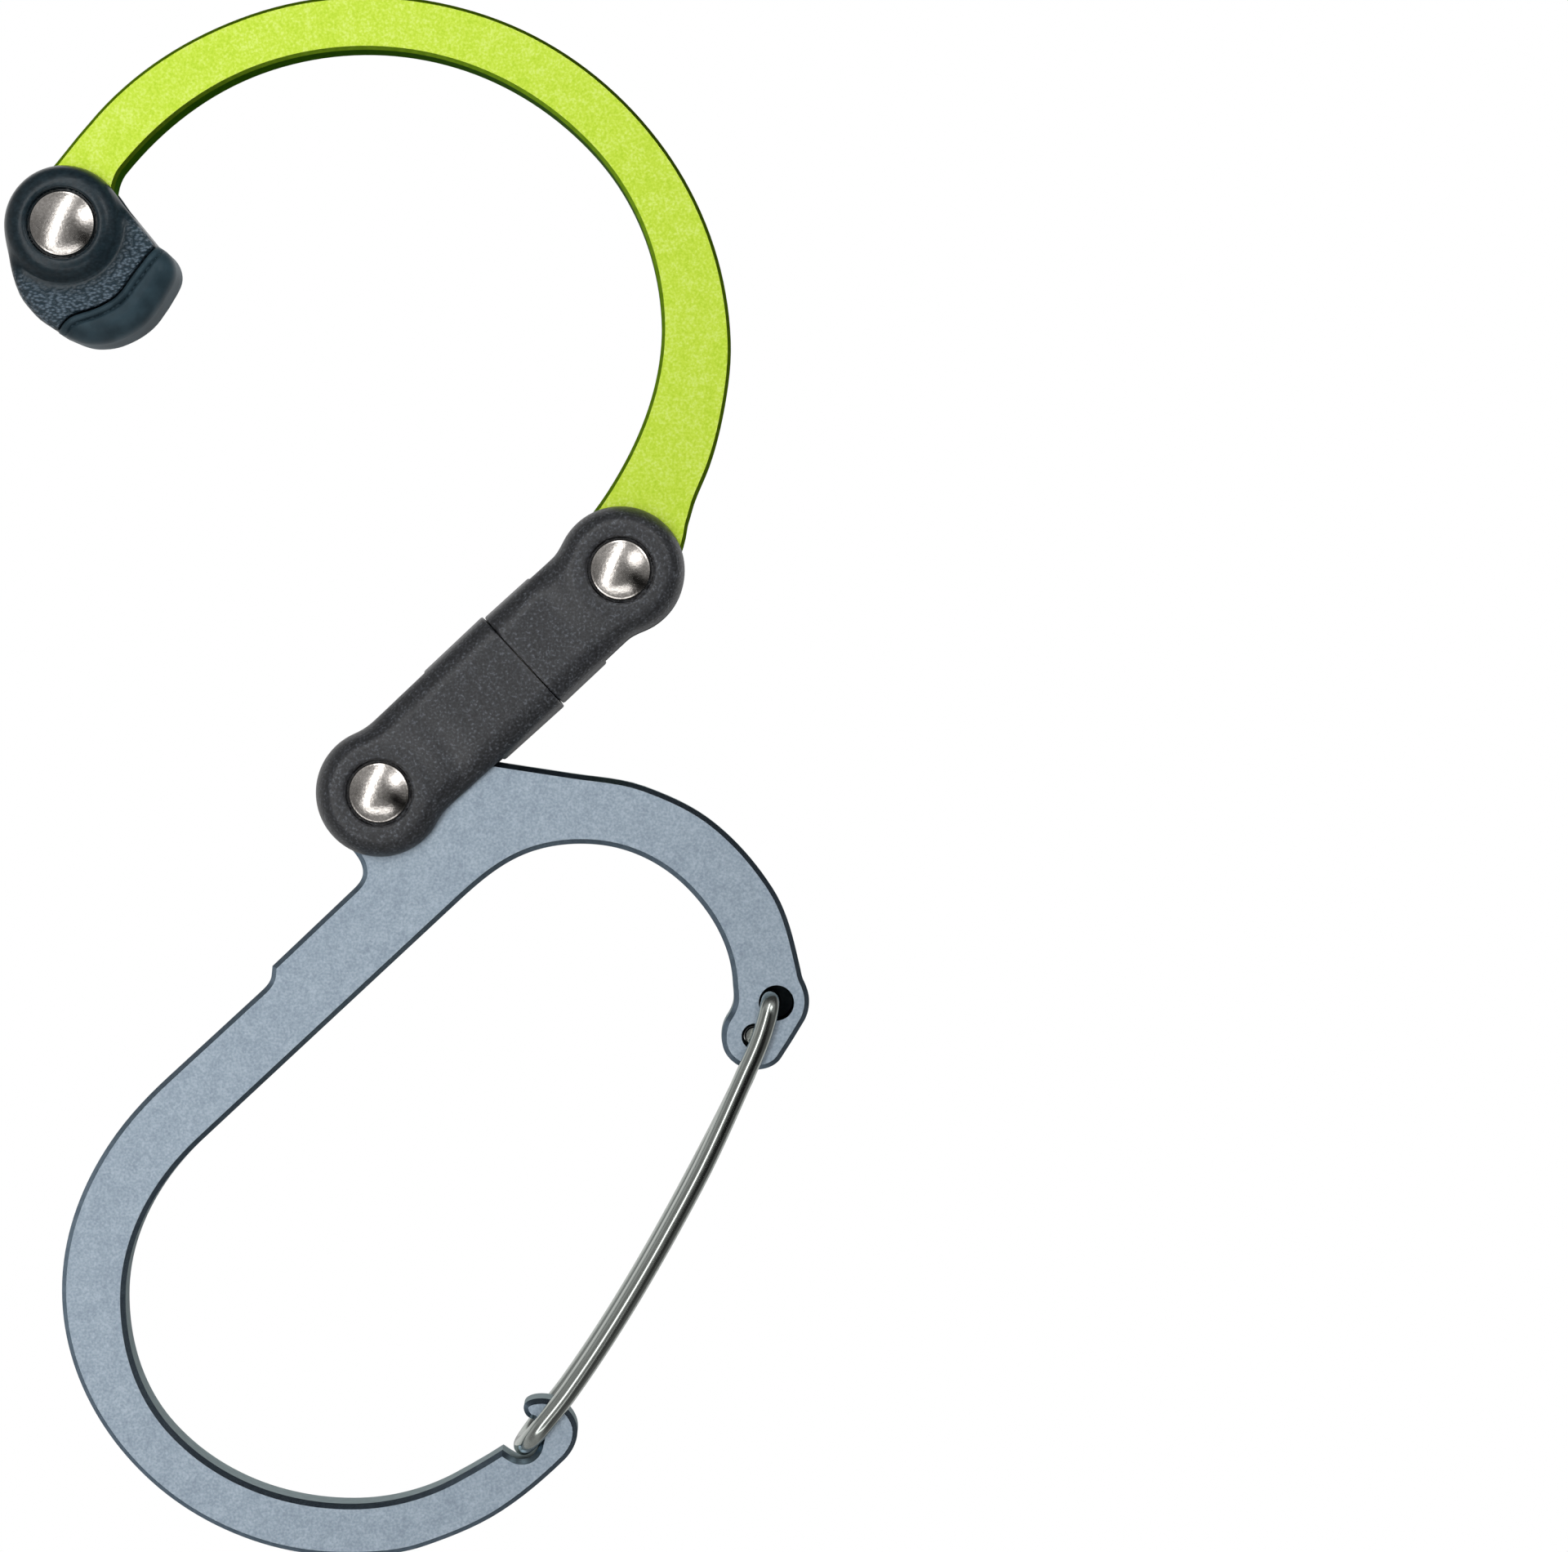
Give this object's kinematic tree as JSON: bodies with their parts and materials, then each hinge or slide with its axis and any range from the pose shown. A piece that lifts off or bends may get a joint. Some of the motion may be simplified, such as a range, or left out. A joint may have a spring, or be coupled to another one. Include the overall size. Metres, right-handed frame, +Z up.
{
  "type": "swivel hook clip",
  "caption": "Gear clip with a wire-gate carabiner, a swivelling split link and a fold-out hook that ends in a pivoting rubber-soled foot.",
  "frame": {"origin": "the highest point of the hook's inner edge, midway through the plate's thickness, where the clip hangs", "axes": "+Z up along the clip's length when it hangs, +X to the right as the picture shows it, -Y towards the viewer of the picture"},
  "size_m": [0.0983, 0.0134, 0.1912],
  "materials": {
    "lime_anodised": "lime anodised over a fine blasted grain, bevelled edges",
    "grey_anodised": "grey-blue anodised over a fine blasted grain, bevelled edges",
    "link_plastic": "charcoal glass-filled nylon with a fine moulded grain",
    "foot_plastic": "blue-black moulded plastic with a leather-like grain",
    "foot_rubber": "smooth blue-black moulded rubber",
    "nickel": "polished nickel-plated domed heads",
    "gate_steel": "drawn stainless wire, satin",
    "pin_steel": "turned steel, unseen",
    "nylon": "plain nylon, nearly unseen"
  },
  "bodies": {
    "hook": {"hook_arm": "lime_anodised"},
    "foot": {"foot_core": "foot_plastic", "foot_sole": "foot_rubber", "foot_rivet_post": "nickel", "foot_rivet_cap": "nickel", "foot_washers": "nylon"},
    "upper_link": {"upper_front_shell": "link_plastic", "upper_back_shell": "link_plastic", "hook_rivet_post": "nickel", "hook_rivet_cap": "nickel", "hook_washers": "nylon"},
    "lower_link": {"lower_front_shell": "link_plastic", "lower_back_shell": "link_plastic", "link_rivet_post": "nickel", "link_rivet_cap": "nickel", "link_washers": "nylon", "swivel_pin": "pin_steel", "swivel_washer": "nylon"},
    "carabiner": {"carabiner_frame": "grey_anodised"},
    "gate": {"wire_gate": "gate_steel"}
  },
  "joints": [
    {"name": "hook_hinge", "type": "hinge", "parent": "hook", "child": "upper_link", "pos_m": [0.031, 0, -0.06377], "axis": [0, -1, 0], "range_deg": [-60, 90]},
    {"name": "swivel", "type": "hinge", "parent": "upper_link", "child": "lower_link", "pos_m": [0.0016, 0, -0.0909], "axis": [0.7349, 0, 0.6782], "continuous": true},
    {"name": "link_fold", "type": "hinge", "parent": "lower_link", "child": "carabiner", "pos_m": [0.0016, 0, -0.0909], "axis": [0, 1, 0], "range_deg": [0, 100]},
    {"name": "gate_hinge", "type": "hinge", "parent": "carabiner", "child": "gate", "pos_m": [0.0474, 0, -0.1208], "axis": [0, 1, 0], "range_deg": [0, 18], "stiffness_Nm_per_rad": 0.3, "springref_deg": -17.19},
    {"name": "foot_hinge", "type": "hinge", "parent": "hook", "child": "foot", "pos_m": [-0.037, 0, -0.0216], "axis": [0, 1, 0], "range_deg": [0, 90]}
  ]
}
